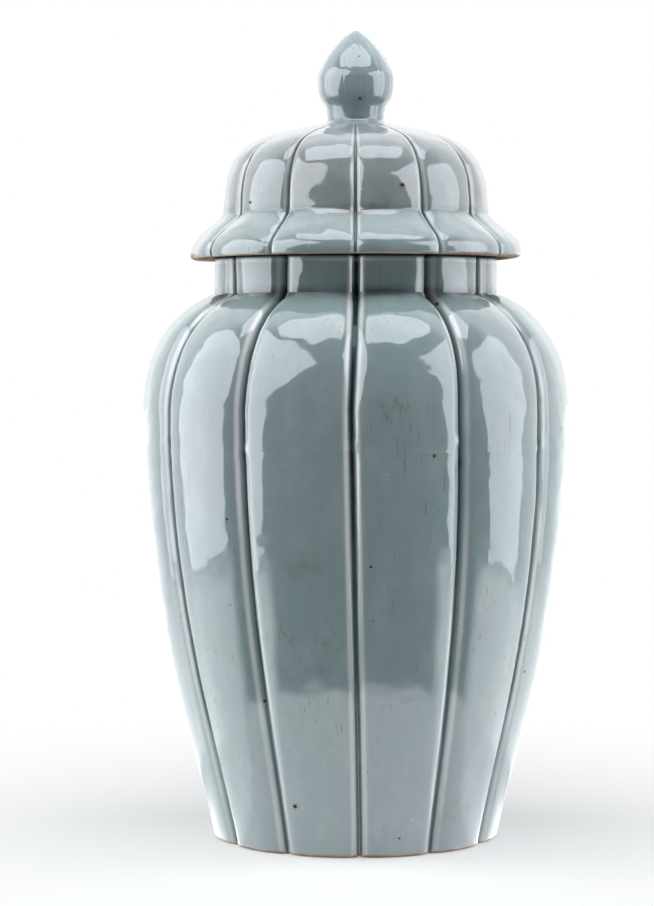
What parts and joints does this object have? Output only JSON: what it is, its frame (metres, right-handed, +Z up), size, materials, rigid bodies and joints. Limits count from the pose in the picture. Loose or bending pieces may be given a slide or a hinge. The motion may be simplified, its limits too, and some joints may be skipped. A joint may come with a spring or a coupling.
{
  "type": "ginger jar",
  "caption": "Tall lobed baluster jar with a short ribbed neck, a lift-off domed lid with a flaring brim and a bud finial, in pale celadon glaze.",
  "frame": {"origin": "centre of the foot, on the surface the jar stands on", "axes": "+Z up along the jar's axis; -Y is the front, where a groove faces the viewer; +X to the viewer's right"},
  "size_m": [0.2944, 0.2944, 0.56],
  "materials": {
    "celadon_glaze": "glossy pale blue-grey celadon, deeper in the grooves",
    "bare_clay": "matt unglazed stoneware, toasted buff to orange-brown"
  },
  "bodies": {
    "jar": {"jar_lower_section": "celadon_glaze", "jar_upper_section": "celadon_glaze", "jar_neck": "celadon_glaze"},
    "lid": {"lid_shell": "celadon_glaze", "lid_locating_ring": "bare_clay", "lid_finial": "celadon_glaze"}
  },
  "joints": [
    {"name": "lid_lift", "type": "slide", "parent": "jar", "child": "lid", "axis": [0, 0, 1], "range_m": [0, 0.15]}
  ]
}
